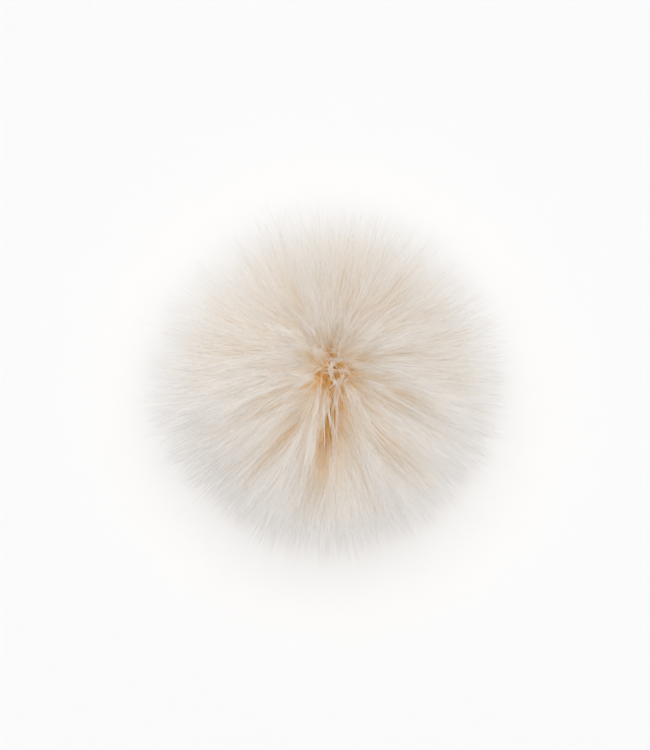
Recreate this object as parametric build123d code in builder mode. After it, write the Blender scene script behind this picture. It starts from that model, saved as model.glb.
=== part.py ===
"""Detachable faux-fur pom pom for a knitted hat, with its ring-spring sew-on press stud.

Frame: millimetres, +Z up through the crown of the pom pom. The origin is the centre of the face
that lies on the hat. The stack, from the hat upwards: hat half of the press stud, ring spring,
socket half, felt disc, stay disc, gathered neck, stuffed knit pouch, under fur, guard hair.
"""

import os
from math import radians, tan

from build123d import *

# ------------------------------------------------------------------ driving dimensions
pom_radius = 65.0  # over the fibre tips
pom_height = 106.0  # hat face to the crest of the fibres
pouch_radius = 27.0  # stuffed knit pouch, at its widest
snap_radius = 10.5  # both halves of the press stud
felt_radius = 19.0
stay_radius = 16.5

sheet = 0.4  # brass sheet of the press stud
sheet_round = 0.12  # rounding of the pressed sheet's edges
slack = 0.05  # free space between two pieces that bear on each other
wire_radius = 0.35  # ring spring
thread_radius = 0.22  # sewing thread
cord_radius = 0.4  # drawstring round the neck
knit_wall = 1.2
gap = 0.3  # free space between one soft layer and the next

lean_limit = 12.0  # degrees that the pom pom leans on its neck
steepest_lean = 1.5 * lean_limit  # more than a nod and a sway together
lean_clearance = 0.5

# ------------------------------------------------------------------ press stud, hat half
foot_radius = 4.3  # foot of the ball, on top of the plate
spigot_radius = 2.9  # the part clinched in the plate's hole
bore_radius = 2.2  # inside of the hollow ball
neck_radius = 2.6
ball_radius = 2.95
foot_bottom = sheet + slack
foot_top = foot_bottom + sheet
neck_top = 2.2
ball_widest = 2.85  # height of the ball's widest circle
ball_shoulder = (2.12, 3.55)  # radius and height of a point on the ball's upper curve
ball_top = 3.8
rim_turn_up = 1.3
hat_hole_radius = 1.0
hat_hole_circle = 7.6  # radius of the circle of sewing holes
sewing_holes = 4

# ------------------------------------------------------------------ press stud, pom pom half
entry_radius = 3.05  # hole that the ball passes
hub_radius = 4.35
hub_bottom = 0.95
spring_radius = 3.0  # centreline of the wire at rest
spring_height = hub_bottom + sheet + wire_radius + slack
spring_opening = 40.0  # degrees left open between the wire's ends
cover_bottom = 3.0
socket_plate_bottom = cover_bottom + sheet + slack
socket_plate_radius = 10.0
collar_bottom = spring_height + wire_radius + 2 * slack
cover_top = 4.3
cover_lip_radius = 9.3
socket_hole_radius = 1.25
socket_hole_circle = 6.9

# ------------------------------------------------------------------ discs and threads
felt_bottom = cover_top + 2 * slack
felt_thick = 2.0
felt_round = 0.6
stay_bottom = felt_bottom + felt_thick + slack
stay_thick = 0.8
stay_round = 0.25
disc_top = stay_bottom + stay_thick
tie_hole_radius = 0.5
tie_circle = 13.0
tie_count = 6
tie_radius = 0.3
tie_knot_radius = 0.65
tie_rise = 0.6  # straight length above the stay disc before a tie turns inwards
stitch_turn = 0.3  # bend radius of a stitch
stitch_clearance = 0.1
stitch_strands = 3
strand_step = 2.4 * thread_radius

# ------------------------------------------------------------------ gathered neck and pouch
neck_pivot = disc_top + slack  # the pom pom rocks on this height
mouth_radius = 1.2
hem_radius = 6.2
hem_thick = 0.7
waist_radius = 5.0
waist_bottom = neck_pivot + 3.3
waist_top = neck_pivot + 5.8
pouch_middle = 38.0
pouch_rise = 25.0  # from the middle of the pouch to its top, and to its underside
pleats = 14
pleat_depth = 0.8
cord_turns = 2
cord_pitch = 0.9

# ------------------------------------------------------------------ pile
base_opening = 22.5  # radius of the clear space round the felt disc
pile_foot = 44.0  # the pile lies flat on the hat out to this radius
tips_middle = 0.44 * pom_height  # height of the pile's widest circle
under_inner = 15.5  # the under fur starts this far out beneath the pouch
under_foot = 36.0
under_bottom = 2.8
under_radius = 42.0
under_rise = 39.0  # from the middle of the pouch to the top of the under fur
crest_radius = 19.5  # circle of the highest tips
crown_dip = 94.0  # height of the parting at the crown
roundness = (1.17, 1.17)  # end weights that bring a quarter curve close to a quarter ellipse

os.makedirs("parts", exist_ok=True)


def band(r0, r1, z0, z1, mode=Mode.ADD):
    """A rectangle of the profile between two radii and two heights, in the sketch being built."""
    with Locations(((r0 + r1) / 2, (z0 + z1) / 2)):
        Rectangle(r1 - r0, z1 - z0, mode=mode)


def stuffed_round(radius, rise):
    """Lines round half of a stuffed shape about the middle of the pouch, in the wire being built."""
    low = Spline(
        (0, pouch_middle - rise),
        (radius, pouch_middle),
        tangents=((1, 0), (0, 1)),
        tangent_scalars=roundness,
    )
    high = Spline(
        low @ 1,
        (0, pouch_middle + rise),
        tangents=((0, 1), (-1, 0)),
        tangent_scalars=roundness,
    )
    Line(high @ 1, low @ 0)


def under_outline(grow):
    """Lines round the outside of the under fur, grown by a little, in the wire being built."""
    floor = under_bottom - grow
    foot = (under_foot + grow, floor)
    flank = Spline(
        foot,
        (under_radius + grow, pouch_middle),
        tangents=((0.2, 1), (0, 1)),
    )
    dome = Spline(
        flank @ 1,
        (0, pouch_middle + under_rise + grow),
        tangents=((0, 1), (-1, 0)),
        tangent_scalars=roundness,
    )
    Polyline(dome @ 1, (0, floor), foot)


def lean_floor(radius):
    """Height that a soft layer must stay above at this radius, to clear the discs when it leans."""
    return neck_pivot + radius * tan(radians(steepest_lean)) + lean_clearance


def save(piece, name):
    """Labels a finished piece and writes its file."""
    piece.part.label = name
    export_step(piece.part, f"parts/{name}.step")


# ------------------------------------------------------------------ hat half: stud plate
with BuildPart() as stud_plate:
    with BuildSketch(Plane.XZ) as stud_plate_profile:
        band(spigot_radius + slack, snap_radius, 0, sheet)
        band(snap_radius - sheet, snap_radius, 0, rim_turn_up)
        upper = stud_plate_profile.vertices().filter_by(lambda v: v.Z > 0)
        fillet(upper, sheet_round)
    revolve(axis=Axis.Z)
    with PolarLocations(hat_hole_circle, sewing_holes):
        Hole(hat_hole_radius)
save(stud_plate, "stud_plate")

# ------------------------------------------------------------------ hat half: hollow ball
with BuildPart() as stud_ball:
    with BuildSketch(Plane.XZ):
        with BuildLine():
            foot = Polyline(
                (bore_radius, slack),
                (spigot_radius, slack),
                (spigot_radius, foot_bottom),
                (foot_radius, foot_bottom),
                (foot_radius, foot_top),
                (neck_radius, foot_top),
                (neck_radius, neck_top),
            )
            skin = Spline(
                foot @ 1,
                (ball_radius, ball_widest),
                ball_shoulder,
                (0, ball_top),
                tangents=((0.3, 1), (-1, 0)),
            )
            crown = Line(skin @ 1, (0, ball_top - sheet))
            lining = Spline(
                crown @ 1,
                (ball_shoulder[0] - sheet, ball_shoulder[1] - sheet),
                (ball_radius - sheet, ball_widest),
                (bore_radius, neck_top),
                tangents=((1, 0), (-0.3, -1)),
            )
            Line(lining @ 1, foot @ 0)
        make_face()
    revolve(axis=Axis.Z)
    rims = stud_ball.edges().filter_by(GeomType.CIRCLE)
    foot_rims = rims.filter_by(lambda e: abs(e.radius - foot_radius) < slack)
    fillet(foot_rims, sheet_round)
save(stud_ball, "stud_ball")

# ------------------------------------------------------------------ ring spring
with BuildPart() as ring_spring:
    with BuildLine(Plane.XY.offset(spring_height)) as spring_path:
        CenterArc((0, 0), spring_radius, spring_opening / 2, 360 - spring_opening)
    with BuildSketch(Plane(spring_path.line @ 0, z_dir=spring_path.line % 0)):
        Circle(wire_radius)
    sweep(path=spring_path.line)
    fillet(ring_spring.faces().filter_by(GeomType.PLANE).edges(), sheet_round)
save(ring_spring, "ring_spring")

# ------------------------------------------------------------------ pom pom half: socket cover
with BuildPart() as socket_cover:
    with BuildSketch(Plane.XZ) as cover_profile:
        band(entry_radius, hub_radius, hub_bottom, hub_bottom + sheet)
        band(hub_radius - sheet, hub_radius, hub_bottom, cover_bottom + sheet)
        band(hub_radius - sheet, snap_radius, cover_bottom, cover_bottom + sheet)
        band(snap_radius - sheet, snap_radius, cover_bottom, cover_top)
        band(cover_lip_radius, snap_radius, cover_top - sheet, cover_top)
        fillet(cover_profile.vertices(), sheet_round)
    revolve(axis=Axis.Z)
    with PolarLocations(socket_hole_circle, sewing_holes):
        Hole(socket_hole_radius)
save(socket_cover, "socket_cover")

# ------------------------------------------------------------------ pom pom half: socket plate
with BuildPart() as socket_plate:
    with BuildSketch(Plane.XZ) as socket_plate_profile:
        plate_top = socket_plate_bottom + sheet
        band(entry_radius, socket_plate_radius, socket_plate_bottom, plate_top)
        band(entry_radius, entry_radius + sheet, collar_bottom, plate_top)
        fillet(socket_plate_profile.vertices(), sheet_round)
    revolve(axis=Axis.Z)
    with PolarLocations(socket_hole_circle, sewing_holes):
        Hole(socket_hole_radius)
save(socket_plate, "socket_plate")

# ------------------------------------------------------------------ stitches that hold the socket
stitch_in = socket_hole_circle
stitch_out = snap_radius + thread_radius + 3 * slack
stitch_low = cover_bottom - thread_radius - slack
stitch_high = felt_bottom + felt_thick / 2
with BuildPart() as stitch_loop:
    with BuildLine(Plane.XZ) as loop_path:
        FilletPolyline(
            (stitch_in, stitch_low),
            (stitch_out, stitch_low),
            (stitch_out, stitch_high),
            (stitch_in, stitch_high),
            radius=stitch_turn,
            close=True,
        )
    with BuildSketch(Plane(loop_path.line @ 0, z_dir=loop_path.line % 0)):
        Circle(thread_radius)
    sweep(path=loop_path.line)

with BuildPart() as socket_stitches:
    for hole in range(sewing_holes):
        with Locations(Location((0, 0, 0), (0, 0, 360 / sewing_holes * hole))):
            with GridLocations(0, strand_step, 1, stitch_strands):
                add(stitch_loop.part)
save(socket_stitches, "socket_stitches")

# ------------------------------------------------------------------ felt disc
with BuildPart() as base_disc:
    with BuildSketch(Plane.XY.offset(felt_bottom)):
        Circle(felt_radius)
    extrude(amount=felt_thick)
    fillet(base_disc.edges().filter_by(GeomType.CIRCLE), felt_round)
    with PolarLocations(tie_circle, tie_count):
        Hole(tie_hole_radius)
    slit_out = stitch_out + thread_radius + stitch_clearance
    slit_in = stitch_in - thread_radius - stitch_clearance
    slit_top = stitch_high + thread_radius + stitch_clearance
    with PolarLocations((slit_in + slit_out) / 2, sewing_holes):
        with Locations((0, 0, felt_bottom)):
            Box(
                slit_out - slit_in,
                2 * (strand_step + thread_radius + stitch_clearance),
                slit_top - felt_bottom,
                align=(Align.CENTER, Align.CENTER, Align.MIN),
                mode=Mode.SUBTRACT,
            )
save(base_disc, "base_disc")

# ------------------------------------------------------------------ stay disc
with BuildPart() as stay_disc:
    with BuildSketch(Plane.XY.offset(stay_bottom)):
        Circle(stay_radius)
    extrude(amount=stay_thick)
    fillet(stay_disc.edges().filter_by(GeomType.CIRCLE), stay_round)
    with PolarLocations(tie_circle, tie_count):
        Hole(tie_hole_radius)
save(stay_disc, "stay_disc")

# ------------------------------------------------------------------ ties from the neck to the discs
tie_end = waist_radius + 2 * cord_radius + tie_knot_radius + gap + slack
with BuildPart() as tie:
    with BuildLine(Plane.XZ) as tie_path:
        FilletPolyline(
            (tie_circle, felt_bottom - tie_knot_radius),
            (tie_circle, disc_top + tie_rise),
            (tie_end, (waist_bottom + waist_top) / 2),
            radius=tie_radius * 2,
        )
    with BuildSketch(Plane(tie_path.line @ 0, z_dir=tie_path.line % 0)):
        Circle(tie_radius)
    sweep(path=tie_path.line)
    for end in (0, 1):
        with Locations(Plane(tie_path.line @ end, z_dir=tie_path.line % end)):
            Sphere(tie_knot_radius)

with BuildPart() as tie_threads:
    for turn in range(tie_count):
        with Locations(Location((0, 0, 0), (0, 0, 360 / tie_count * turn))):
            add(tie.part)
save(tie_threads, "tie_threads")

# ------------------------------------------------------------------ drawstring round the neck
cord_circle = waist_radius + cord_radius + slack
cord_start = (waist_bottom + waist_top) / 2 - cord_pitch * cord_turns / 2
with BuildPart() as gather_thread:
    with BuildLine(Plane.XY.offset(cord_start)) as cord_path:
        Helix(pitch=cord_pitch, height=cord_pitch * cord_turns, radius=cord_circle)
    with BuildSketch(Plane(cord_path.line @ 0, z_dir=cord_path.line % 0)):
        Circle(cord_radius)
    sweep(path=cord_path.line, is_frenet=True)
save(gather_thread, "gather_thread")

# ------------------------------------------------------------------ knit pouch
hem_bottom = lean_floor(hem_radius) - lean_clearance
with BuildPart() as knit_backing:
    with BuildSketch(Plane.XZ):
        with BuildLine():
            stuffed_round(pouch_radius, pouch_rise)
        make_face()
        band(0, waist_radius, waist_bottom, pouch_middle)
        with BuildLine():
            Polyline(
                (0, waist_bottom),
                (waist_radius, waist_bottom),
                (hem_radius, hem_bottom + hem_thick),
                (hem_radius, hem_bottom),
                (0, hem_bottom),
                close=True,
            )
        make_face()
        with BuildLine():
            stuffed_round(pouch_radius - knit_wall, pouch_rise - knit_wall)
        make_face(mode=Mode.SUBTRACT)
        band(0, mouth_radius, 0, pouch_middle, Mode.SUBTRACT)
    revolve(axis=Axis.Z)
    with PolarLocations(hem_radius + pleat_depth / 2, pleats):
        Cylinder(
            pleat_depth,
            waist_bottom,
            align=(Align.CENTER, Align.CENTER, Align.MIN),
            mode=Mode.SUBTRACT,
        )
save(knit_backing, "knit_backing")

# ------------------------------------------------------------------ fibre filling
with BuildPart() as fibre_fill:
    with BuildSketch(Plane.XZ):
        with BuildLine():
            stuffed_round(pouch_radius - knit_wall - gap, pouch_rise - knit_wall - gap)
        make_face()
    revolve(axis=Axis.Z)
save(fibre_fill, "fibre_fill")

# ------------------------------------------------------------------ under fur
with BuildPart() as under_fur:
    with BuildSketch(Plane.XZ):
        with BuildLine():
            under_outline(0)
        make_face()
        with BuildLine():
            stuffed_round(pouch_radius + gap, pouch_rise + gap)
        make_face(mode=Mode.SUBTRACT)
        with BuildLine():
            Polyline(
                (0, 0),
                (base_opening, 0),
                (base_opening, lean_floor(base_opening)),
                (under_inner, lean_floor(under_inner)),
                (under_inner, pouch_middle),
                (0, pouch_middle),
                close=True,
            )
        make_face(mode=Mode.SUBTRACT)
    revolve(axis=Axis.Z)
save(under_fur, "under_fur")

# ------------------------------------------------------------------ guard hair
with BuildPart() as guard_hair:
    with BuildSketch(Plane.XZ):
        with BuildLine():
            Spline((pile_foot, 0), (pom_radius, tips_middle), tangents=((1, 0.35), (0, 1)))
            shoulder = EllipticalCenterArc(
                (crest_radius, tips_middle),
                pom_radius - crest_radius,
                pom_height - tips_middle,
                arc_size=90,
            )
            Spline(shoulder @ 1, (0, crown_dip), tangents=((-1, 0), (-1, 0)))
            Polyline((0, crown_dip), (0, 0), (pile_foot, 0))
        make_face()
        with BuildLine():
            under_outline(gap)
        make_face(mode=Mode.SUBTRACT)
        band(0, base_opening, 0, pouch_middle, Mode.SUBTRACT)
    revolve(axis=Axis.Z)
save(guard_hair, "guard_hair")
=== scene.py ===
"""Looks of the detachable faux-fur pom pom: pile, pouch, felt, threads, press stud, floor and light."""

import math
from dataclasses import dataclass

import bpy
import numpy as np
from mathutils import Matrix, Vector


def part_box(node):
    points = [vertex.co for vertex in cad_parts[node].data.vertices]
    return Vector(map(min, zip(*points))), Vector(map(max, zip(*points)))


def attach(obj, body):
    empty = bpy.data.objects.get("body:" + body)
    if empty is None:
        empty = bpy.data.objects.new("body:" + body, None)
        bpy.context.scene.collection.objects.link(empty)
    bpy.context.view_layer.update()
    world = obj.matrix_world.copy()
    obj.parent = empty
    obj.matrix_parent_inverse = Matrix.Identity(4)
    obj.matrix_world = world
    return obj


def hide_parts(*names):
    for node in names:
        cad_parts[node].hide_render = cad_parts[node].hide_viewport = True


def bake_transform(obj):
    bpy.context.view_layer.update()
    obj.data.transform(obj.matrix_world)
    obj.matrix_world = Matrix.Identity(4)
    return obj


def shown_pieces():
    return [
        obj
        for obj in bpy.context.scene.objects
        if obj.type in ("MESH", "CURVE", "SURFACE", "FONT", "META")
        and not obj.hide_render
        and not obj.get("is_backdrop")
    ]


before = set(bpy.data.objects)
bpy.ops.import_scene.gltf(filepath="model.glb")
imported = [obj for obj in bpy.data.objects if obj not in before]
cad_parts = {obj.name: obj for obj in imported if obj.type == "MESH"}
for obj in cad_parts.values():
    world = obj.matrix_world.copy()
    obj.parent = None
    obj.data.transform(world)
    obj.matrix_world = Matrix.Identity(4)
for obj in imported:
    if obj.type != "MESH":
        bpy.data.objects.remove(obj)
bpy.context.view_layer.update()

MM = 0.001
SEED = 5  # each piece that draws random numbers adds a number of its own


# ---------------------------------------------------------------- sizes read from the CAD parts, in mm
def box_mm(cad_node):
    low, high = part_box(cad_node)
    return np.array(low) / MM, np.array(high) / MM


def disc_of(cad_node):
    """(radius, bottom, top) of a round node."""
    low, high = box_mm(cad_node)
    return (high[0] - low[0]) / 2, low[2], high[2]


POUCH_R, POUCH_FOOT, POUCH_TOP = disc_of("knit_backing")
TIP_R, HAT_Z, CREST_Z = disc_of("guard_hair")
FELT_R, FELT_LOW, FELT_TOP = disc_of("base_disc")
CORD_R, CORD_LOW, CORD_TOP = disc_of("gather_thread")
WAD_R, WAD_LOW, WAD_TOP = disc_of("fibre_fill")
STAY_TOP = disc_of("stay_disc")[2]
SNAP_R = disc_of("socket_cover")[0]
CORD_MID = (CORD_LOW + CORD_TOP) / 2
WAD_MID = (WAD_TOP + WAD_LOW) / 2
POUCH_RISE = (WAD_TOP - WAD_LOW) / 2 + POUCH_TOP - WAD_TOP  # half the height of its round part
POUCH_MID = POUCH_TOP - POUCH_RISE
POUCH_AXES = [POUCH_R, POUCH_R, POUCH_RISE]
POUCH_CENTRE = [0, 0, POUCH_MID]
TIPS_MID = HAT_Z + 0.44 * (CREST_Z - HAT_Z)  # height at which the outline of the tips is widest
WAIST_R = CORD_R - 0.9  # the neck of the pouch, inside the cord
NECK_PIVOT = STAY_TOP + 0.05


# ---------------------------------------------------------------- mesh helpers
def add_object(name, data):
    thing = bpy.data.objects.new(name, data)
    bpy.context.scene.collection.objects.link(thing)
    return thing


def add_mesh(name, points, faces, uv=None, smooth=True):
    """A mesh object from points in millimetres and faces that all have the same number of corners."""
    points = np.asarray(points, np.float32) * MM
    faces = np.asarray(faces, np.int32)
    corners = faces.shape[1]
    mesh = bpy.data.meshes.new(name)
    mesh.vertices.add(len(points))
    mesh.vertices.foreach_set("co", points.ravel())
    mesh.loops.add(faces.size)
    mesh.loops.foreach_set("vertex_index", faces.ravel())
    mesh.polygons.add(len(faces))
    mesh.polygons.foreach_set("loop_start", np.arange(0, faces.size, corners, dtype=np.int32))
    mesh.update(calc_edges=True)
    mesh.polygons.foreach_set("use_smooth", np.full(len(faces), smooth))
    if uv is not None:
        layer = mesh.uv_layers.new(name="OFBake")
        layer.data.foreach_set("uv", np.asarray(uv, np.float32)[faces.ravel()].ravel())
    mesh.validate()
    return add_object(name, mesh)


def unit(v):
    return v / np.maximum(np.linalg.norm(v, axis=-1, keepdims=True), 1e-9)


def side_vectors(along):
    """Two unit vectors square to each direction and to each other."""
    helper = np.where(np.abs(along[..., 2:3]) < 0.8, [[0.0, 0.0, 1.0]], [[1.0, 0.0, 0.0]])
    first = unit(np.cross(along, helper))
    return first, np.cross(along, first)


TUBE_SIDES = 3


def tubes(lines, radii, sides=TUBE_SIDES):
    """Closed tapered tubes along many polylines of equal point count.

    lines is (tubes, rings + 1, 3), and the last point of each line is the sharp tip. radii is
    (tubes, rings). Returns the points, the triangles and the number of points in each tube."""
    count, steps = lines.shape[:2]
    rings = steps - 1
    mean = unit(lines[:, -1] - lines[:, 0])
    first, second = side_vectors(mean)
    turn = np.arange(sides) * 2 * math.pi / sides
    spoke = np.cos(turn)[:, None] * first[:, None] + np.sin(turn)[:, None] * second[:, None]
    ring_points = lines[:, :rings, None] + radii[:, :, None, None] * spoke[:, None]
    each = rings * sides + 1
    points = np.concatenate([ring_points.reshape(count, rings * sides, 3), lines[:, -1:]], axis=1)
    local = []
    for ring in range(rings - 1):
        for side in range(sides):
            a = ring * sides + side
            b = ring * sides + (side + 1) % sides
            local += [(a, b, b + sides), (a, b + sides, a + sides)]
    last = (rings - 1) * sides
    for side in range(sides):
        local.append((last + side, last + (side + 1) % sides, each - 1))
    for side in range(1, sides - 1):
        local.append((0, side + 1, side))
    faces = np.array(local)[None] + (np.arange(count) * each)[:, None, None]
    return points.reshape(-1, 3), faces.reshape(-1, 3), each


# ---------------------------------------------------------------- material helpers
def new_material(name):
    material = bpy.data.materials.new(name)
    material.use_nodes = True
    tree = material.node_tree
    return material, tree, tree.nodes["Principled BSDF"]


def node(tree, kind, **values):
    """A shader node; keywords set its properties, and a dictionary named inputs sets its sockets."""
    made = tree.nodes.new(kind)
    for socket, value in values.pop("inputs", {}).items():
        made.inputs[socket].default_value = value
    for key, value in values.items():
        setattr(made, key, value)
    return made


def ramp(tree, factor, stops):
    """A colour ramp over a factor; stops are (place, colour) pairs."""
    made = tree.nodes.new("ShaderNodeValToRGB")
    elements = made.color_ramp.elements
    while len(elements) < len(stops):
        elements.new(0.5)
    for element, (place, colour) in zip(elements, stops):
        element.position = place
        element.color = (*colour, 1)
    tree.links.new(factor, made.inputs["Fac"])
    return made.outputs["Color"]


def feed(tree, socket, value):
    """Links an output to a socket, or sets the socket to a plain value."""
    if isinstance(value, bpy.types.NodeSocket):
        tree.links.new(value, socket)
    else:
        socket.default_value = value


COARSE_TONE = 0.9  # tones from here up belong to the coarse fibres
FIBRE_TINTS = [  # a tint for each tone, the last one for the coarse fibres
    (0.0, (0.93, 0.915, 0.9)),
    (0.5, (1.0, 1.0, 1.0)),
    (0.89, (1.0, 0.99, 0.975)),
    (0.99, (0.84, 0.79, 0.73)),
]


def pile_material(name, stops, roughness, glow):
    """Fibre whose colour runs from root to tip along the map's second axis.

    The map's first axis is the fibre's tone, and glow is the share of light that passes through."""
    material, tree, shader = new_material(name)
    layer = node(tree, "ShaderNodeUVMap", uv_map="OFBake")
    split = node(tree, "ShaderNodeSeparateXYZ")
    tree.links.new(layer.outputs[0], split.inputs[0])
    along = ramp(tree, split.outputs[1], stops)
    tint = ramp(tree, split.outputs[0], FIBRE_TINTS)
    mixed = node(tree, "ShaderNodeMix", data_type="RGBA", blend_type="MULTIPLY", inputs={0: 1.0})
    tree.links.new(along, mixed.inputs[6])
    tree.links.new(tint, mixed.inputs[7])
    colour = mixed.outputs[2]
    tree.links.new(colour, shader.inputs["Base Color"])
    shader.inputs["Roughness"].default_value = roughness
    shader.inputs["Specular IOR Level"].default_value = 0.25
    translucent = node(tree, "ShaderNodeBsdfTranslucent")
    tree.links.new(colour, translucent.inputs["Color"])
    both = node(tree, "ShaderNodeMixShader", inputs={0: glow})
    tree.links.new(shader.outputs[0], both.inputs[1])
    tree.links.new(translucent.outputs[0], both.inputs[2])
    tree.links.new(both.outputs[0], tree.nodes["Material Output"].inputs["Surface"])
    return material


# ---------------------------------------------------------------- the lie of the pile
def smooth_noise(points, rng, wavelength, waves=7):
    """A smooth random vector at each point, about unit size."""
    total = np.zeros_like(points)
    for _ in range(waves):
        direction = unit(rng.normal(size=3)) * 2 * math.pi / (wavelength * rng.uniform(0.7, 1.5))
        phase = rng.uniform(0, 2 * math.pi)
        total += unit(rng.normal(size=3)) * np.sin(points @ direction + phase)[:, None]
    return total / math.sqrt(waves / 2)


def rises(low, high, x):
    """0 below low, 1 above high, and smooth between them."""
    t = np.clip((x - low) / (high - low), 0, 1)
    return t * t * (3 - 2 * t)


def falls(low, high, x):
    return 1 - rises(low, high, x)


def pouch_point(u):
    """Point of the pouch in the direction u from its middle, and the outward normal there."""
    return u * POUCH_AXES + POUCH_CENTRE, unit(u / POUCH_AXES)


def from_crown(points):
    """Degrees down from the crown, for points on the pouch."""
    return np.degrees(np.arccos(np.clip((points[:, 2] - POUCH_MID) / POUCH_RISE, -1, 1)))


DOME_POWER, FOOT_POWER = 2.15, 2.6  # how square the outline of the tips is, above and below TIPS_MID
DIMPLE, DIMPLE_R = 0.15, 15.0  # how deep the crown's dimple is, as a share, and its radius in mm


def outline_share(points):
    """1 on the outline of the tips, less inside it."""
    radius = np.linalg.norm(points[:, :2], axis=1) / TIP_R
    above = points[:, 2] - TIPS_MID
    rise = np.where(above > 0, above / (CREST_Z - TIPS_MID), -above / (TIPS_MID - HAT_Z))
    power = np.where(above > 0, DOME_POWER, FOOT_POWER)
    dimple = 1 + DIMPLE * np.exp(-((radius * TIP_R / DIMPLE_R) ** 2)) * (above > 0)
    return dimple * (radius**power + rise**power) ** (1 / power)


# each parting: heading in degrees, from and to in degrees from the crown, half width in mm, push
PARTINGS = (
    (-93, 4, 60, 1.2, 0.9),
    (-124, 14, 50, 1.0, 0.5),
    (-58, 20, 58, 1.0, 0.5),
    (-76, 34, 70, 1.0, 0.5),
    (-150, 14, 34, 1.2, 0.3),
    (-25, 16, 36, 1.2, 0.3),
)
WHORL = np.array([1.0, 3.0])  # where the crown's whorl lies off the axis, in mm


def comb(root, normal, rng):
    """The direction in which each lock leaves the pouch.

    The far side (+Y) stands up and is swept round a little, the near side is brushed down and flat,
    and each parting pushes the locks away from its line. Leans are shares of the normal."""
    from_whorl = root - [*WHORL, 0]
    from_whorl[:, 2] = 0
    reach = np.linalg.norm(from_whorl, axis=1, keepdims=True)
    outward = from_whorl / np.maximum(reach, 0.5)
    outward = outward - normal * np.sum(outward * normal, axis=1, keepdims=True)
    polar = from_crown(root)
    heading = np.degrees(np.arctan2(from_whorl[:, 1], from_whorl[:, 0]))
    around = unit(np.stack([-from_whorl[:, 1], from_whorl[:, 0], 0 * heading], axis=1))

    # the lean away from the whorl, on the far side and on the near side
    nearness = -np.sin(np.radians(heading))
    upright = 0.1 * falls(3, 16, polar) - 0.5 * rises(12, 34, polar) * falls(58, 92, polar)
    flat = (0.15 + 0.62 * rises(6, 24, polar)) * falls(25, 85, polar) + 0.12
    lean = normal + (upright + (flat - upright) * rises(-1.0, 1.0, nearness))[:, None] * outward
    sweep = 0.4 * np.cos(np.radians(heading)) * rises(4, 14, polar) * falls(40, 80, polar)
    lean = lean - (sweep * falls(0.1, 0.7, nearness))[:, None] * around

    # aside is the distance from a parting's line, in mm
    for angle, start, stop, half_width, push in PARTINGS:
        off = (heading - angle + 180) % 360 - 180
        aside = np.radians(off) * reach[:, 0]
        strength = push * np.exp(-((aside / (2.2 * half_width)) ** 2))
        strength *= rises(start - 4, start + 4, polar) * falls(stop - 12, stop, polar)
        strength *= np.tanh(aside / (0.35 * half_width)) * (np.abs(off) < 90)
        lean = lean + strength[:, None] * around

    # the crown is tangled, and everything is a little uneven
    lean = lean + 0.05 * smooth_noise(root, rng, 17) + 0.06 * smooth_noise(root, rng, 7)
    tangled = 0.28 * falls(7, 22, polar)
    lean = lean + tangled[:, None] * rng.normal(size=lean.shape)
    loose = 0.09 + 0.09 * rises(30, 65, polar)
    return unit(lean + loose[:, None] * rng.normal(size=lean.shape))


GUIDE_STEPS = 8
FELT_GAP = 4.2  # the pile keeps this far outside the felt disc, in mm
FELT_GAP_RISE = 9.0  # up to this height above the neck's pivot
POUCH_GAP = 1.03  # distance kept from the middle of the pouch at the roots, as a share of its size
POUCH_GAP_GAIN = 0.1  # and how much more at the tips


def grow(root, heading, length, droop):
    """Guide lines of locks that grow out, sag, and lie down on the hat and round the felt disc."""
    line = [root]
    aim = heading.copy()
    step = length / GUIDE_STEPS
    # each step sags, then is moved clear of the felt, the hat and the pouch, and keeps its length
    for index in range(GUIDE_STEPS):
        share = (index + 1) / GUIDE_STEPS
        aim = unit(aim + droop[:, None] * share * np.array([0, 0, -1.0]))
        after = line[-1] + aim * step[:, None]

        radius = np.linalg.norm(after[:, :2], axis=1)
        outward = after * [1, 1, 0] / np.maximum(radius, 1e-6)[:, None]
        beside_felt = after[:, 2] < NECK_PIVOT + FELT_GAP_RISE
        push = np.where(beside_felt, np.maximum(0, FELT_R + FELT_GAP - radius), 0)
        after = after + outward * push[:, None]

        rest_height = HAT_Z + 0.4 + 1.6 * (1 - share)
        sunk = np.maximum(0, rest_height - after[:, 2])
        after = after + outward * (0.9 * sunk)[:, None]
        after[:, 2] += sunk

        u = (after - POUCH_CENTRE) / POUCH_AXES
        inside = np.maximum(0, POUCH_GAP + POUCH_GAP_GAIN * share - np.linalg.norm(u, axis=1))
        after = after + unit(u) * (inside * POUCH_R)[:, None]

        aim = unit(after - line[-1])
        line.append(line[-1] + aim * step[:, None])
    return np.stack(line, axis=1)


def scatter(count, rng, lowest):
    """Evenly spread directions over a ball, jittered, that stay above a lowest height."""
    index = np.arange(count) + 0.5
    height = 1 - (1 - lowest) * index / count
    turn = index * math.pi * (3 - math.sqrt(5))
    flat = np.sqrt(np.maximum(0, 1 - height**2))
    u = np.stack([flat * np.cos(turn), flat * np.sin(turn), height], axis=1)
    return unit(u + rng.normal(size=u.shape) * 0.45 / math.sqrt(count))


def sample(lines, share):
    """Points along each line at the given shares of its length; lines (n, k, 3), share (n, m)."""
    last = lines.shape[1] - 1
    at = np.clip(share, 0, 1) * last
    low = np.minimum(at.astype(int), last - 1)
    part = (at - low)[..., None]
    rows = np.arange(len(lines))[:, None]
    return lines[rows, low] * (1 - part) + lines[rows, low + 1] * part


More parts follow.
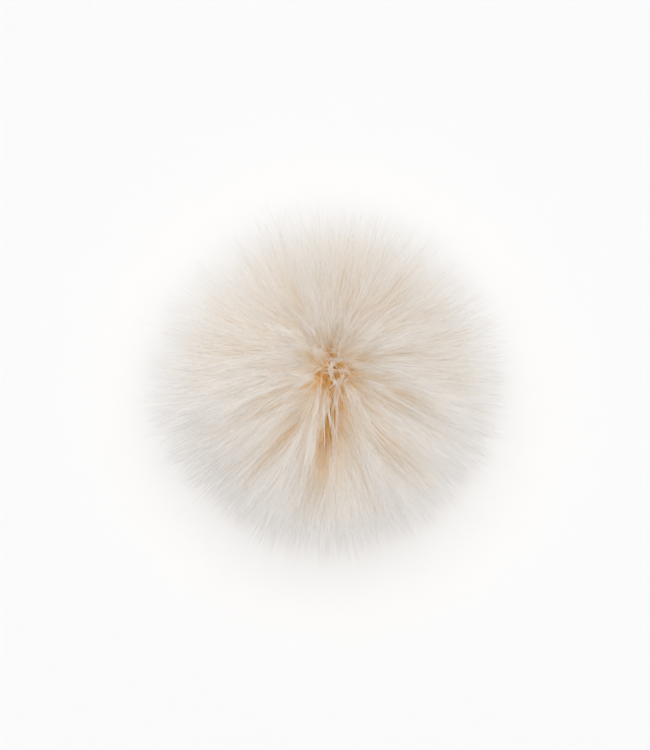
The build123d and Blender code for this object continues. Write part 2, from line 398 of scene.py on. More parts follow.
# ---------------------------------------------------------------- fibres
@dataclass
class Pile:
    """One layer of fur, in locks of several fibres. Lengths are in millimetres."""

    locks: int
    per_lock: int
    length: float
    lock_radius: float
    rings: int  # rings of points along each fibre
    thick: float  # radius of a fibre
    pull: float  # how far a lock's tips draw together on the near side
    droop: float
    stray: float  # share of the fibres that leave their lock
    fuzz: float  # waviness
    reach: float = 0.0  # outline that the locks are clipped to, as a share of the tips'; 0 is no clipping
    lowest: float = -0.84  # height on a unit ball down to which it grows
    mess: float = 0.0  # random lean of whole locks
    tied: float = 0.0  # least share of the pull, away from the near side


FITS = 3  # rounds in which the locks are clipped to the outline
TAPER = [0.8, 1.0, 1.0, 0.92, 0.76, 0.55, 0.4]  # a fibre's thickness from its root towards its tip
COARSE_SHARE, COARSE_THICKNESS = 0.05, 1.8
SHORTEST = 0.52  # the share that the shortest fibres lose of their lock's length


def lock_guides(pile, rng):
    """One guide line along the middle of each lock, and the normal at its root."""
    root, normal = pouch_point(scatter(pile.locks, rng, pile.lowest))
    heading = comb(root, normal, rng)
    heading = unit(heading + pile.mess * rng.normal(size=heading.shape))
    length = pile.length * rng.uniform(0.93, 1.05, pile.locks)
    sag = pile.droop * rng.uniform(0.7, 1.3, pile.locks)
    broad, fine = smooth_noise(root, rng, 26)[:, 0], smooth_noise(root, rng, 6)[:, 0]
    uneven = pile.reach * (1 + 0.045 * broad + 0.02 * fine)
    guides = grow(root, heading, length, sag)
    for _ in range(FITS if pile.reach else 0):
        share = outline_share(guides[:, -1])
        length = length * np.clip(1 + (uneven - share) * TIP_R / length, 0.85, 1.12)
        length = np.clip(length, 0.7 * pile.length, 1.25 * pile.length)
        guides = grow(root, heading, length, sag)
    return guides, normal


def fibre_lines(pile, guides, normal, lock, rng):
    """A polyline for each fibre, from the guide of its lock."""
    count = len(lock)
    # where each fibre stands in its lock
    first, second = side_vectors(normal)
    off_r = pile.lock_radius * np.sqrt(rng.uniform(0, 1, count))
    off_turn = rng.uniform(0, 2 * math.pi, count)
    offset = first * (off_r * np.cos(off_turn))[:, None] + second * (off_r * np.sin(off_turn))[:, None]

    # how far apart the lock's fibres end, as a multiple of how far apart they stand
    near_side = rises(-0.35, 0.45, -unit(guides[:, -1] - guides[:, 0])[:, 1])
    gather = pile.pull * np.maximum(near_side, pile.tied) * rng.uniform(0.2, 1.2, pile.locks)[lock]
    stray = rng.uniform(size=count) < pile.stray
    spread = 1 + 1.3 * rises(0, 60, from_crown(guides[:, 0]))
    stray_spread = spread * rng.uniform(0.9, 1.9, count)
    end_spread = np.where(stray, stray_spread, spread * (1 - np.clip(gather, 0, 0.93)))

    # fibres of unlike length along the guide
    share = np.linspace(0, 1, pile.rings + 1)[None] * np.ones((count, 1))
    length = 1 - SHORTEST * rng.beta(1.2, 1.35, count)
    length = np.where(stray, length * rng.uniform(0.95, 1.1, count), length)
    lines = sample(guides, share * np.minimum(length, 1)[:, None])
    beyond = np.maximum(length - 1, 0)[:, None, None] * share[..., None] ** 2
    lines = lines + beyond * (guides[:, -1] - guides[:, 0])[:, None]
    width = 1 + (end_spread - 1)[:, None] * share**0.8
    lines = lines + offset[:, None] * width[..., None]

    # a bend and a wave that grow towards the tip, kept above the hat
    waviness = np.where(stray, 0.25 * pile.rings, pile.fuzz * (1.25 - 0.85 * near_side))
    wave = rng.normal(size=(count, 2, 3)) * waviness[:, None, None]
    bend = wave[:, :1] * (share**1.5)[..., None] + wave[:, 1:] * np.sin(share * 5)[..., None] * 0.45
    lines = lines + bend * share[..., None]
    lines[:, :, 2] = np.maximum(lines[:, :, 2], HAT_Z + 0.15)
    return lines


def fibre_build(pile, lock, rng):
    """The radii along each fibre, and its tone. A few fibres are coarse and darker."""
    count = len(lock)
    coarse = rng.uniform(size=count) < COARSE_SHARE
    taper = np.interp(np.arange(pile.rings) / pile.rings, np.linspace(0, 1, len(TAPER)), TAPER)
    stoutness = np.where(coarse, COARSE_THICKNESS, rng.uniform(0.75, 1.25, count))
    radii = pile.thick * taper[None] * stoutness[:, None]
    tone = rng.uniform(0.1, 0.85, pile.locks)[lock] + rng.normal(size=count) * 0.12
    coarse_tone = rng.uniform(COARSE_TONE, 0.99, count)
    return radii, np.where(coarse, coarse_tone, np.clip(tone, 0.01, COARSE_TONE))


def stain_of(root):
    """How far up the orange of the roots reaches: most at the crown and along the main parting."""
    polar = from_crown(root)
    turn = math.radians(PARTINGS[0][0])
    down = (root[:, :2] - WHORL) @ [math.cos(turn), math.sin(turn)]
    aside = (root[:, :2] - WHORL) @ [-math.sin(turn), math.cos(turn)]
    in_parting = np.exp(-((aside / 1.2) ** 2)) * (down > 0) * falls(35, 60, polar)
    return 1 + 1.5 * np.exp(-((polar / 9.5) ** 2)) + 0.7 * in_parting


def make_pile(pile, seed):
    """The fibres of a layer: their polylines, radii, tones and stains."""
    rng = np.random.default_rng(seed)
    guides, normal = lock_guides(pile, rng)
    lock = np.repeat(np.arange(pile.locks), pile.per_lock)  # the lock that each fibre is in
    lines = fibre_lines(pile, guides[lock], normal[lock], lock, rng)
    radii, tone = fibre_build(pile, lock, rng)
    return lines, radii, tone, stain_of(guides[lock, 0])


def dress(thing, look, body, cad_node):
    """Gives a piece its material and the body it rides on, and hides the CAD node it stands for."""
    thing.data.materials.clear()
    thing.data.materials.append(look)
    if body:
        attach(thing, body)
    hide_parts(cad_node)


def pile_piece(name, lines, radii, tone, stain):
    """One mesh of many fibres, mapped by tone across and by the share of the stained length along."""
    points, faces, each = tubes(lines, radii)
    rings = radii.shape[1]
    along = np.append(np.repeat(np.arange(rings) / rings, TUBE_SIDES), 1.0)
    uv = np.empty((len(points), 2))
    uv[:, 0] = np.repeat(tone, each)
    uv[:, 1] = (along[None] ** stain[:, None]).ravel()
    return add_mesh(name, points, faces, uv)


def sector_pieces(stem, parts, fibres, look, cad_node):
    """Splits a layer into pieces by heading, all riding on the pom pom."""
    middle = fibres[0].mean(axis=1)
    order = np.argsort(np.arctan2(middle[:, 1], middle[:, 0]), kind="stable")
    for index, rows in enumerate(np.array_split(order, parts)):
        piece = pile_piece(f"{stem}_{index + 1}", *(values[rows] for values in fibres))
        dress(piece, look, "pom", cad_node)


ROOT_ORANGE = (0.89, 0.645, 0.14)
ROOT_PALE = (0.94, 0.73, 0.37)
guard_look = pile_material(
    "guard_pile",
    [
        (0.0, ROOT_ORANGE),
        (0.04, ROOT_PALE),
        (0.09, (0.93, 0.82, 0.66)),
        (0.17, (0.94, 0.91, 0.865)),
        (0.5, (0.955, 0.937, 0.915)),
        (0.8, (0.97, 0.965, 0.96)),
    ],
    roughness=0.5,
    glow=0.5,
)
under_look = pile_material(
    "under_pile",
    [
        (0.0, ROOT_ORANGE),
        (0.1, ROOT_PALE),
        (0.22, (0.93, 0.80, 0.62)),
        (1.0, (0.955, 0.925, 0.875)),
    ],
    roughness=0.6,
    glow=0.3,
)

density = 1.0
guard_hair = Pile(
    locks=int(5200 * density),
    per_lock=9,
    length=40.0,
    lock_radius=1.5,
    rings=5,
    thick=0.062,
    pull=0.5,
    droop=0.05,
    stray=0.07,
    fuzz=0.9,
    reach=1.06,
)
crown_wisps = Pile(
    locks=int(120 * density),
    per_lock=12,
    length=27.0,
    lock_radius=0.9,
    rings=5,
    thick=0.075,
    pull=0.95,
    droop=0.1,
    stray=0.05,
    fuzz=0.7,
    lowest=0.95,
    mess=0.4,
    tied=1.0,
)
under_fur = Pile(
    locks=int(2400 * density),
    per_lock=10,
    length=33.0,
    lock_radius=2.0,
    rings=3,
    thick=0.1,
    pull=0.0,
    droop=0.03,
    stray=0.2,
    fuzz=1.0,
)
top_fibres = [
    np.concatenate(pair) for pair in zip(make_pile(guard_hair, SEED), make_pile(crown_wisps, SEED + 7))
]
sector_pieces("guard_hair_lock", 7, top_fibres, guard_look, "guard_hair")
sector_pieces("under_fur_tuft", 2, make_pile(under_fur, SEED + 1), under_look, "under_fur")


# ---------------------------------------------------------------- finishes of the smaller pieces
def object_coordinates(tree, scale=(1.0, 1.0, 1.0)):
    """Object coordinates in millimetres, stretched by a scale per axis."""
    place = node(tree, "ShaderNodeTexCoord")
    stretch = node(tree, "ShaderNodeMapping", inputs={3: tuple(s / MM for s in scale)})
    tree.links.new(place.outputs["Object"], stretch.inputs[0])
    return stretch.outputs[0]


def noise(tree, place, scale, detail=4.0, roughness=0.6):
    settings = {"Scale": scale, "Detail": detail, "Roughness": roughness}
    made = node(tree, "ShaderNodeTexNoise", inputs=settings)
    tree.links.new(place, made.inputs["Vector"])
    return made.outputs["Fac"]


def bump(tree, shader, height, strength, distance):
    """Relief from a height, with its depth in millimetres."""
    made = node(tree, "ShaderNodeBump", inputs={"Strength": strength, "Distance": distance * MM})
    tree.links.new(height, made.inputs["Height"])
    tree.links.new(made.outputs[0], shader.inputs["Normal"])


def metal(name, pale, dark, smooth, worn):
    """Plated metal: cloudy tarnish spread by noise, and fine scratches that catch the light."""
    material, tree, shader = new_material(name)
    place = object_coordinates(tree)
    cloud = noise(tree, place, 0.35)
    fine = noise(tree, object_coordinates(tree, (1.0, 1.0, 6.0)), 5.0, 2.0)
    tree.links.new(ramp(tree, cloud, [(0.35, dark), (0.62, pale)]), shader.inputs["Base Color"])
    level = node(tree, "ShaderNodeMapRange", inputs={1: 0.3, 2: 0.7, 3: smooth, 4: worn})
    tree.links.new(fine, level.inputs[0])
    tree.links.new(level.outputs[0], shader.inputs["Roughness"])
    shader.inputs["Metallic"].default_value = 1.0
    bump(tree, shader, fine, 0.25, 0.01)
    return material


def fibrous(name, stops, grain, depth, sheen=0.3, rough=0.92):
    """A matt textile of matted fibres: mottled colour and a fine tangled relief. The colour is also painted
    darker where the relief is low, as painted shade.
    """
    material, tree, shader = new_material(name)
    place = object_coordinates(tree)
    mottle = noise(tree, place, grain * 0.22)
    tangle = noise(tree, place, grain, 8.0, 0.75)
    both = node(tree, "ShaderNodeMath", operation="MULTIPLY_ADD", inputs={1: 0.5, 2: 0.0})
    tree.links.new(mottle, both.inputs[0])
    tree.links.new(tangle, both.inputs[2])
    # the mottle is the textile's own colour; the tangle adds painted shade, darker in the relief's hollows
    tree.links.new(ramp(tree, both.outputs[0], stops), shader.inputs["Base Color"])
    shader.inputs["Roughness"].default_value = rough
    shader.inputs["Sheen Weight"].default_value = sheen
    shader.inputs["Specular IOR Level"].default_value = 0.15
    bump(tree, shader, tangle, 0.7, depth)
    return material


def jersey(name, loop, row):
    """Weft-knit jersey: columns of small V-shaped loops, so many round the piece and rows up it. The colour
    is painted darker into the dips between the loops, as painted shade.
    """
    material, tree, shader = new_material(name)
    layer = node(tree, "ShaderNodeUVMap", uv_map="OFBake")
    split = node(tree, "ShaderNodeSeparateXYZ")
    tree.links.new(layer.outputs[0], split.inputs[0])

    def maths(operation, a, b=0.0):
        made = node(tree, "ShaderNodeMath", operation=operation)
        feed(tree, made.inputs[0], a)
        feed(tree, made.inputs[1], b)
        return made.outputs[0]

    across = maths("PINGPONG", maths("MULTIPLY", split.outputs[0], loop), 0.5)
    slant = maths("ADD", maths("MULTIPLY", split.outputs[1], row), across)
    leg = maths("PINGPONG", slant, 0.5)
    height = maths("MULTIPLY", maths("POWER", leg, 0.6), maths("POWER", across, 0.4))
    # the tan of the yarn, painted darker where the loops dip: painted shade in the knit's hollows
    stops = [(0.0, (0.50, 0.30, 0.14)), (0.35, (0.74, 0.53, 0.33)), (0.75, (0.84, 0.68, 0.49))]
    tree.links.new(ramp(tree, height, stops), shader.inputs["Base Color"])
    shader.inputs["Roughness"].default_value = 0.9
    shader.inputs["Sheen Weight"].default_value = 0.3
    bump(tree, shader, height, 0.8, 0.25)
    return material


plated_look = metal("plated_brass", (0.80, 0.78, 0.74), (0.68, 0.65, 0.59), 0.2, 0.42)
wire_look = metal("spring_wire", (0.62, 0.61, 0.60), (0.38, 0.36, 0.34), 0.22, 0.38)
felt_look = fibrous("felt", [(0.45, (0.70, 0.62, 0.50)), (0.95, (0.86, 0.81, 0.72))], 3.0, 0.12)
stay_stops = [(0.4, (0.80, 0.79, 0.75)), (1.0, (0.90, 0.89, 0.86))]
stay_look = fibrous("stay", stay_stops, 1.6, 0.02, sheen=0.0, rough=0.5)
thread_stops = [(0.4, (0.78, 0.72, 0.62)), (1.0, (0.92, 0.88, 0.80))]
thread_look = fibrous("thread", thread_stops, 9.0, 0.03, rough=0.75)
wadding_look = fibrous("wadding", [(0.4, (0.86, 0.85, 0.82)), (1.0, (0.95, 0.94, 0.92))], 0.9, 0.6)
knit_look = jersey("knit", loop=110.0, row=64.0)

for name, look in (
    ("stud_plate", plated_look),
    ("stud_ball", plated_look),
    ("socket_cover", plated_look),
    ("socket_plate", plated_look),
    ("ring_spring", wire_look),
    ("stay_disc", stay_look),
):
    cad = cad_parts[name]
    cad.data.materials.clear()
    cad.data.materials.append(look)


# ---------------------------------------------------------------- formed pieces
def turned(name, rings, uv=False):
    """A closed form through rings of equal point count, with a point at each end; rings (k, n, 3)."""
    rows, sides = rings.shape[:2]
    ends = np.stack([rings[0].mean(axis=0), rings[-1].mean(axis=0)])
    points = np.concatenate([rings.reshape(-1, 3), ends]) * MM
    faces = []
    for row in range(rows - 1):
        for side in range(sides):
            a, b = row * sides + side, row * sides + (side + 1) % sides
            faces.append((a, b, b + sides, a + sides))
    for side in range(sides):
        after = (side + 1) % sides
        faces.append((after, side, rows * sides))
        faces.append(((rows - 1) * sides + side, (rows - 1) * sides + after, rows * sides + 1))
    mesh = bpy.data.meshes.new(name)
    mesh.from_pydata([tuple(p) for p in points], [], faces)
    if uv:
        layer = mesh.uv_layers.new(name="OFBake")
        for polygon in mesh.polygons:
            wraps = any(mesh.loops[i].vertex_index % sides == sides - 1 for i in polygon.loop_indices)
            for i in polygon.loop_indices:
                vertex = mesh.loops[i].vertex_index
                column, row = vertex % sides, min(vertex // sides, rows)
                if wraps and column == 0:
                    column = sides
                layer.data[i].uv = (column / sides, row / rows)
    mesh.shade_smooth()
    return add_object(name, mesh)


def bake_modifiers(thing):
    """Makes the evaluated shape the piece's own mesh, and takes its modifiers off."""
    evaluated = thing.evaluated_get(bpy.context.evaluated_depsgraph_get())
    mesh = bpy.data.meshes.new_from_object(evaluated)
    thing.modifiers.clear()
    thing.data = mesh


def subdivide(thing, levels=1):
    thing.modifiers.new("finer", "SUBSURF").levels = levels
    bake_modifiers(thing)


def stuff(thing, held, pressure, frames, cap):
    """Cloth pressed out by the filling and held where the weights are 1. cap limits the move, in mm."""
    group = thing.vertex_groups.new(name="held")
    for index, weight in enumerate(held):
        if weight > 0:
            group.add([index], float(weight), "REPLACE")
    start = np.array([v.co for v in thing.data.vertices])
    cloth = thing.modifiers.new("cloth", "CLOTH")
    settings = cloth.settings
    settings.quality = 6
    settings.mass = 0.12
    settings.tension_stiffness = 18.0
    settings.compression_stiffness = 8.0
    settings.bending_stiffness = 0.3
    settings.use_pressure = True
    settings.uniform_pressure_force = pressure
    settings.effector_weights.gravity = 0.0
    settings.vertex_group_mass = "held"
    cloth.collision_settings.use_collision = False
    for number in range(1, frames + 1):
        bpy.context.scene.frame_set(number)
    bake_modifiers(thing)
    bpy.context.scene.frame_set(1)
    moved = np.array([v.co for v in thing.data.vertices]) - start
    far = np.linalg.norm(moved, axis=1, keepdims=True) / (cap * MM)
    thing.data.vertices.foreach_set("co", (start + moved / np.maximum(far, 1)).astype(np.float32).ravel())
    thing.data.update()


def circle_rings(radii, heights, sides, wobble=None):
    """Rings about Z, one for each radius and height; wobble(turn) adds to the radii, in mm."""
    turn = np.arange(sides) * 2 * math.pi / sides
    radii = np.asarray(radii, float)[:, None] + (0 if wobble is None else wobble(turn))
    rise = np.asarray(heights, float)[:, None] * np.ones((1, sides))
    return np.stack([radii * np.cos(turn), radii * np.sin(turn), rise], axis=2)


# ---------------------------------------------------------------- knit pouch, gathered at its neck
PLEATS = 14
PLEAT_DEPTH = 1.1
PLEAT_SIDES = PLEATS * 10
PLEAT_REACH = 9.0  # height over which the pleats die away from the cord
CLOTH_SHARE = 0.985  # size of the pouch before the filling swells it
neck_profile = [  # (radius, height) from inside the gathered hem out and up to the cord
    (1.2, POUCH_FOOT + 1.0),
    (3.6, POUCH_FOOT + 0.3),
    (6.1, POUCH_FOOT),
    (6.2, POUCH_FOOT + 0.6),
    (5.5, CORD_LOW + 0.1),
    (WAIST_R, CORD_LOW + 0.6),
    (WAIST_R, CORD_TOP),
]
neck_radii, neck_heights = np.array(neck_profile).T
climb = np.linspace(math.asin(1.1 * WAIST_R / POUCH_R), math.pi - 0.06, 40)
pouch_radii = np.append(neck_radii, POUCH_R * CLOTH_SHARE * np.sin(climb))
pouch_heights = np.append(neck_heights, POUCH_MID - POUCH_RISE * CLOTH_SHARE * np.cos(climb))
gathered = np.exp(-(((pouch_heights - CORD_MID) / PLEAT_REACH) ** 2)) * np.minimum(1, pouch_radii / 9)
gathered[3:7] *= 0.35  # pressed flatter where the hem and the cord hold them


def pleats(turn):
    return gathered[:, None] * PLEAT_DEPTH * np.cos(PLEATS * turn + 0.6 * np.sin(3 * turn))[None]


pouch = turned("knit_pouch", circle_rings(pouch_radii, pouch_heights, PLEAT_SIDES, pleats), uv=True)
held = np.repeat(pouch_heights < CORD_TOP + 1.5, PLEAT_SIDES).astype(float)
stuff(pouch, np.append(held, [1.0, 0.0]), pressure=4.0, frames=20, cap=0.4)
subdivide(pouch)
points = np.array([v.co for v in pouch.data.vertices]) / MM
round_part = rises(0.5, 0.9, np.linalg.norm((points - POUCH_CENTRE) / POUCH_AXES, axis=1))
crumple = smooth_noise(points, np.random.default_rng(SEED + 2), 9.0) * round_part[:, None] * 0.15
pouch.data.vertices.foreach_set("co", ((points + crumple) * MM).astype(np.float32).ravel())
dress(pouch, knit_look, "pom", "knit_backing")

# ---------------------------------------------------------------- lumps of polyester wadding
WAD_SHARE = 0.93  # room left inside the CAD form for the lumps
lump_rng = np.random.default_rng(SEED + 3)
climb = np.linspace(0.05, math.pi - 0.05, 34)
wad_heights = WAD_MID - (WAD_TOP - WAD_MID) * WAD_SHARE * np.cos(climb)
wad = circle_rings(WAD_R * WAD_SHARE * np.sin(climb), wad_heights, 64)
wad_points = wad.reshape(-1, 3)
wad_points += smooth_noise(wad_points, lump_rng, 13.0) * 0.45 + smooth_noise(wad_points, lump_rng, 5.0) * 0.22
wadding = turned("wadding", wad_points.reshape(wad.shape))
subdivide(wadding)
dress(wadding, wadding_look, "pom", "fibre_fill")

# ---------------------------------------------------------------- felt disc with its loose fibres
felt_rng = np.random.default_rng(SEED + 4)
EDGE = 0.6  # radius of the cut edge
corner = np.linspace(0, math.pi / 2, 5)
felt_profile = [(r, FELT_LOW) for r in np.arange(0.6, FELT_R - EDGE, 0.9)]
felt_profile += [(FELT_R - EDGE + EDGE * math.sin(c), FELT_LOW + EDGE - EDGE * math.cos(c)) for c in corner]
felt_profile += [(FELT_R - EDGE + EDGE * math.cos(c), FELT_TOP - EDGE + EDGE * math.sin(c)) for c in corner]
felt_profile += [(r, FELT_TOP) for r in np.arange(FELT_R - EDGE - 0.5, 0.5, -0.9)]
felt_radii, felt_heights = np.array(felt_profile).T
felt_rings = circle_rings(felt_radii, felt_heights, 150)
rim_share = rises(FELT_R - 2.5, FELT_R, felt_radii)[:, None, None]
felt_shift = smooth_noise(felt_rings.reshape(-1, 3), felt_rng, 4.0).reshape(felt_rings.shape)
felt_rings = felt_rings + felt_shift * [0.08, 0.08, 0.02] * rim_share
dress(turned("felt_disc", felt_rings), felt_look, "base", "base_disc")

FUZZ = int(5200 * density)
FUZZ_THICK = 0.022
fuzz_turn = felt_rng.uniform(0, 2 * math.pi, FUZZ)
on_rim = felt_rng.uniform(size=FUZZ) < 0.35
under_r = np.sqrt(felt_rng.uniform((SNAP_R + 0.6) ** 2, (FELT_R - 0.5) ** 2, FUZZ))
fuzz_r = np.where(on_rim, FELT_R - 0.15, under_r)
fuzz_z = np.where(on_rim, felt_rng.uniform(FELT_LOW + 0.5, FELT_TOP - 0.5, FUZZ), FELT_LOW + 0.02)
fuzz_root = np.stack([fuzz_r * np.cos(fuzz_turn), fuzz_r * np.sin(fuzz_turn), fuzz_z], axis=1)
fuzz_out = np.stack([np.cos(fuzz_turn), np.sin(fuzz_turn), 0 * fuzz_turn], axis=1) * on_rim[:, None]
fuzz_out[:, 2] -= ~on_rim
fuzz_aim = unit(0.45 * fuzz_out + felt_rng.normal(size=(FUZZ, 3)) * [0.7, 0.7, 0.12])
fuzz_bend = felt_rng.normal(size=(FUZZ, 3)) * [0.25, 0.25, 0.05]
fuzz_length = felt_rng.uniform(0.5, 1.5, FUZZ)[:, None]
steps = np.linspace(0, 1, 4)[None, :, None]
fuzz_curve = steps * fuzz_aim[:, None] + steps**2 * fuzz_bend[:, None]
fuzz_lines = fuzz_root[:, None] + fuzz_length[:, None] * fuzz_curve
fuzz_points, fuzz_faces, _ = tubes(fuzz_lines, np.full((FUZZ, 3), FUZZ_THICK) * [1.0, 0.8, 0.6])
dress(add_mesh("felt_fuzz", fuzz_points, fuzz_faces), felt_look, "base", "base_disc")


# ---------------------------------------------------------------- threads
def rope(path, binormal, radius, plies=1, pitch=1.0, closed=False):
    """Points and faces of a laid thread: each ply is a tube wound round the path, every pitch.

    The binormal is any direction roughly square to the path. Lengths are in millimetres."""
    points, faces = [], []
    count = len(path)

    def frame_of(line):
        ahead = np.roll(line, -1, axis=0) - np.roll(line, 1, axis=0)
        if not closed:
            ahead[0], ahead[-1] = line[1] - line[0], line[-1] - line[-2]
        ahead = unit(ahead)
        side = unit(np.cross(binormal, ahead))
        return side, np.cross(ahead, side)

    side, up = frame_of(path)
    lengths = np.linalg.norm(np.diff(path, axis=0, append=path[:1]), axis=1)
    run = np.concatenate([[0], np.cumsum(lengths)[:-1]])
    whole = lengths.sum() if closed else run[-1]
    turns = max(1, round(whole / pitch))
    ply_radius = radius / (1 + 1 / math.sin(math.pi / plies)) if plies > 1 else radius
    off = radius - ply_radius
    ring = 6  # points round each ply
    around = np.arange(ring) * 2 * math.pi / ring
    for ply in range(plies):
        angle = 2 * math.pi * (run / whole * turns + ply / plies)
        line = path + off * (np.cos(angle)[:, None] * side + np.sin(angle)[:, None] * up)
        first, second = frame_of(line)
        spoke = np.cos(around)[:, None] * first[:, None] + np.sin(around)[:, None] * second[:, None]
        tube = line[:, None] + 1.12 * ply_radius * spoke  # a little fat, so that the plies press together
        start = sum(len(p) for p in points)
        points.append(tube.reshape(-1, 3))
        for row in range(count if closed else count - 1):
            here, after = start + row * ring, start + (row + 1) % count * ring
            for k in range(ring):
                m = (k + 1) % ring
                faces.append((here + k, here + m, after + m, after + k))
        if not closed:
            faces.append(tuple(start + k for k in reversed(range(ring))))
            faces.append(tuple(start + (count - 1) * ring + k for k in range(ring)))
    return np.concatenate(points), faces


def thread_piece(name, parts):
    """One mesh from several (points, faces) pairs."""
    start, points, faces = 0, [], []
    for some, these in parts:
        points.append(some)
        faces += [tuple(i + start for i in face) for face in these]
        start += len(some)
    mesh = bpy.data.meshes.new(name)
    mesh.from_pydata([tuple(p * MM) for p in np.concatenate(points)], [], faces)
    mesh.shade_smooth()
    return add_object(name, mesh)


def turn_about_z(points, degrees):
    c, s = math.cos(math.radians(degrees)), math.sin(math.radians(degrees))
    return points @ np.array([[c, s, 0], [-s, c, 0], [0, 0, 1]])


def rounded_path(corners, radius, step, closed=False):
    """Points every step along straight runs whose corners are rounded."""
    corners = np.asarray(corners, float)
    out = []
    for index, here in enumerate(corners):
        if not closed and index in (0, len(corners) - 1):
            out.append(here[None])
            continue
        before, after = corners[index - 1], corners[(index + 1) % len(corners)]
        start, end = here + unit(before - here) * radius, here + unit(after - here) * radius
        t = np.linspace(0, 1, 7)[:, None]
        out.append((1 - t) ** 2 * start + 2 * t * (1 - t) * here + t**2 * end)
    rough = np.concatenate(out + ([out[0][:1]] if closed else []))
    run = np.concatenate([[0], np.cumsum(np.linalg.norm(np.diff(rough, axis=0), axis=1))])
    even = np.linspace(0, run[-1], max(8, int(run[-1] / step)) + 1)
    even = even[:-1] if closed else even
    return np.stack([np.interp(even, run, rough[:, axis]) for axis in range(3)], axis=1)


UP = np.array([0.0, 0.0, 1.0])
SIDEWAYS = np.array([[0.0, 1.0, 0.0]])

(_, _, STITCH_LOW), (STITCH_OUT, _, STITCH_HIGH) = box_mm("socket_stitches")
THREAD = 0.22  # radius of the sewing thread
STITCH_IN = 6.9
STRAND_STEP = 2.4 * THREAD
loop_corners = [
    (STITCH_IN, 0, STITCH_LOW + THREAD),
    (STITCH_OUT - THREAD, 0, STITCH_LOW + THREAD),
    (STITCH_OUT - THREAD, 0, STITCH_HIGH - THREAD),
    (STITCH_IN, 0, STITCH_HIGH - THREAD),
]
loop_path = rounded_path(loop_corners, radius=0.45, step=0.12, closed=True)
loops = []
for hole in range(4):
    for strand in (-1, 0, 1):
        path = turn_about_z(loop_path + [0, strand * STRAND_STEP, 0], 90 * hole)
        binormal = turn_about_z(SIDEWAYS, 90 * hole)[0]
        loops.append(rope(path, binormal, THREAD, plies=2, closed=True))
dress(thread_piece("socket_threads", loops), thread_look, "base", "socket_stitches")

TIES = 6
TIE_THREAD = 0.3  # radius of a tie
KNOT_THREAD = 0.2
TIE_OUT, TIE_IN = 13.0, CORD_R + 1.0
TIE_LOW = FELT_LOW - 0.65
tie_corners = [(TIE_OUT, 0, TIE_LOW), (TIE_OUT, 0, STAY_TOP + 0.6), (TIE_IN, 0, CORD_MID)]
tie_path = rounded_path(tie_corners, radius=TIE_THREAD * 2, step=0.14)
t = np.linspace(0, 2 * math.pi, 60, endpoint=False)
trefoil = np.stack([np.sin(t) + 2 * np.sin(2 * t), np.cos(t) - 2 * np.cos(2 * t), -np.sin(3 * t)], axis=1)
trefoil *= [0.135, 0.135, 0.22]  # half sizes of the knot, over those of the curve
ties = []
for tie in range(TIES):
    degrees = 360 / TIES * tie
    binormal = turn_about_z(SIDEWAYS, degrees)[0]
    ties.append(rope(turn_about_z(tie_path, degrees), binormal, TIE_THREAD, plies=3, pitch=1.5))
    for end in (tie_path[0], tie_path[-1]):
        ties.append(rope(turn_about_z(trefoil + end, degrees), UP, KNOT_THREAD, closed=True))
tie_piece = thread_piece("neck_ties", ties)
dress(tie_piece, thread_look, None, "tie_threads")
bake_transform(tie_piece)

CORD = 0.4  # radius of the cord
CORD_PITCH = 0.9
CORD_TURNS = 2
wind = np.linspace(0, 2 * math.pi * CORD_TURNS, 260)
cord_start = CORD_MID - CORD_PITCH * CORD_TURNS / 2
cord_heights = cord_start + CORD_PITCH * wind / (2 * math.pi)
cord_path = np.stack([(CORD_R - CORD) * np.cos(wind), (CORD_R - CORD) * np.sin(wind), cord_heights], axis=1)
cord = thread_piece("neck_cord", [rope(cord_path, UP, CORD, plies=3, pitch=2.4)])
dress(cord, thread_look, "pom", "gather_thread")

# ---------------------------------------------------------------- floor, light and camera
# The floor is clear from below and fades out with distance, so that no horizon shows.
FLOOR_HALF = 900
FLOOR_Z = HAT_Z - 0.6
FADE_START, FADE_END = 0.25, 0.85  # metres from the middle
floor_corners = [(x * FLOOR_HALF, y * FLOOR_HALF, FLOOR_Z) for x, y in ((-1, -1), (1, -1), (1, 1), (-1, 1))]
floor_mesh = add_mesh("floor", floor_corners, [(0, 1, 2, 3)], smooth=False)
floor_look, floor_tree, floor_shader = new_material("floor_paper")
floor_shader.inputs["Base Color"].default_value = (0.93, 0.93, 0.935, 1)
floor_shader.inputs["Roughness"].default_value = 0.9
floor_shader.inputs["Specular IOR Level"].default_value = 0.0
floor_mesh.data.materials.append(floor_look)
spot = node(floor_tree, "ShaderNodeNewGeometry")
away = node(floor_tree, "ShaderNodeVectorMath", operation="LENGTH")
fade = node(floor_tree, "ShaderNodeMapRange", inputs={1: FADE_START, 2: FADE_END})
fade.interpolation_type = "SMOOTHSTEP"
hidden = node(floor_tree, "ShaderNodeMath", operation="MAXIMUM")
clear = node(floor_tree, "ShaderNodeBsdfTransparent")
shown = node(floor_tree, "ShaderNodeMixShader")
floor_tree.links.new(spot.outputs["Position"], away.inputs[0])
floor_tree.links.new(away.outputs["Value"], fade.inputs[0])
floor_tree.links.new(fade.outputs[0], hidden.inputs[0])
floor_tree.links.new(spot.outputs["Backfacing"], hidden.inputs[1])
floor_tree.links.new(hidden.outputs[0], shown.inputs[0])
floor_tree.links.new(floor_shader.outputs[0], shown.inputs[1])
floor_tree.links.new(clear.outputs[0], shown.inputs[2])
floor_tree.links.new(shown.outputs[0], floor_tree.nodes["Material Output"].inputs["Surface"])
floor_mesh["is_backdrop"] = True


LIGHT_AIM = Vector((0, 0, 0.05))


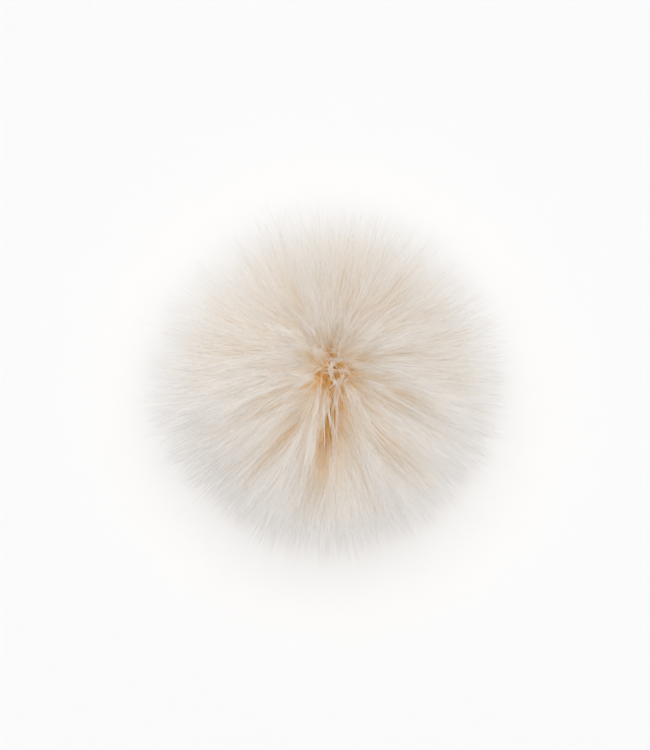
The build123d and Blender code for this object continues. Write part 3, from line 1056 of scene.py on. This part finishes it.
def area_light(name, place, size, power, colour, shadow=False, targets=None):
    """A round lamp that lights only its targets, or every visible piece. Lengths are in metres.

    Lamps without shadow stand in for the light that soft fibres scatter among themselves."""
    data = bpy.data.lights.new(name, "AREA")
    data.shape = "DISK"
    data.size = size
    data.energy = power
    data.color = colour
    data.use_shadow = shadow
    lamp = add_object(name, data)
    lamp.location = place
    lamp.rotation_euler = (LIGHT_AIM - Vector(place)).to_track_quat("-Z", "Y").to_euler()
    group = bpy.data.collections.new(f"lit_by_{name}")
    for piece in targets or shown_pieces():
        group.objects.link(piece)
    lamp.light_linking.receiver_collection = group


WARM, COOL, WHITE = (1.0, 0.985, 0.96), (0.9, 0.95, 1.0), (1.0, 1.0, 1.0)
area_light("key", (0.0, 0.8, 0.95), 0.45, 4.6, (1.0, 0.985, 0.955), shadow=True)
area_light("back_fill", (-0.1, 1.0, 0.6), 0.6, 2.5, WARM)
area_light("side_fill", (0.95, 0.4, 0.5), 0.6, 1.9, WARM)
area_light("low_fill", (0.0, 0.25, -1.0), 0.6, 2.2, (1.0, 0.99, 0.97))
area_light("front_fill", (0.4, -0.7, 0.85), 0.6, 0.5, COOL)
area_light("floor_wash", (0.0, 0.0, 2.0), 1.8, 18.0, WHITE, shadow=True, targets=[floor_mesh])
area_light("floor_lift", (0.0, 0.0, 2.0), 1.6, 7.0, WHITE, targets=[floor_mesh])

# a white world that is brighter from the sides than from above, and plain white to the camera
world = bpy.data.worlds.new("studio")
world.use_nodes = True
backdrop = world.node_tree.nodes["Background"]
backdrop.inputs["Color"].default_value = (*WHITE, 1)
seen = node(world.node_tree, "ShaderNodeLightPath")
around = node(world.node_tree, "ShaderNodeTexCoord")
height = node(world.node_tree, "ShaderNodeSeparateXYZ")
world.node_tree.links.new(around.outputs["Generated"], height.inputs[0])
glow = node(world.node_tree, "ShaderNodeMapRange", inputs={1: 0.0, 2: 0.8, 3: 1.15, 4: 0.4})
world.node_tree.links.new(height.outputs[2], glow.inputs[0])
level = node(world.node_tree, "ShaderNodeMix", inputs={3: 1.0})
world.node_tree.links.new(seen.outputs["Is Camera Ray"], level.inputs[0])
world.node_tree.links.new(glow.outputs[0], level.inputs[2])
world.node_tree.links.new(level.outputs[0], backdrop.inputs["Strength"])
scene = bpy.context.scene
scene.world = world
scene.view_settings.view_transform = "Standard"
scene.cycles.diffuse_bounces = 12
scene.cycles.max_bounces = 14

LENS = 100.0
FIELD = 0.2715  # metres across the long side of the picture at the object
ELEVATION = math.radians(82)
camera_data = bpy.data.cameras.new("camera")
camera_data.lens = LENS
camera_data.sensor_width = 36.0
camera = add_object("camera", camera_data)
aim = Vector((-0.0018, 0.0018, TIPS_MID * MM))
back = Vector((0, -math.cos(ELEVATION), math.sin(ELEVATION)))
camera.location = aim + back * (FIELD * LENS / camera_data.sensor_width)
camera.rotation_euler = (-back).to_track_quat("-Z", "Y").to_euler()
scene.camera = camera
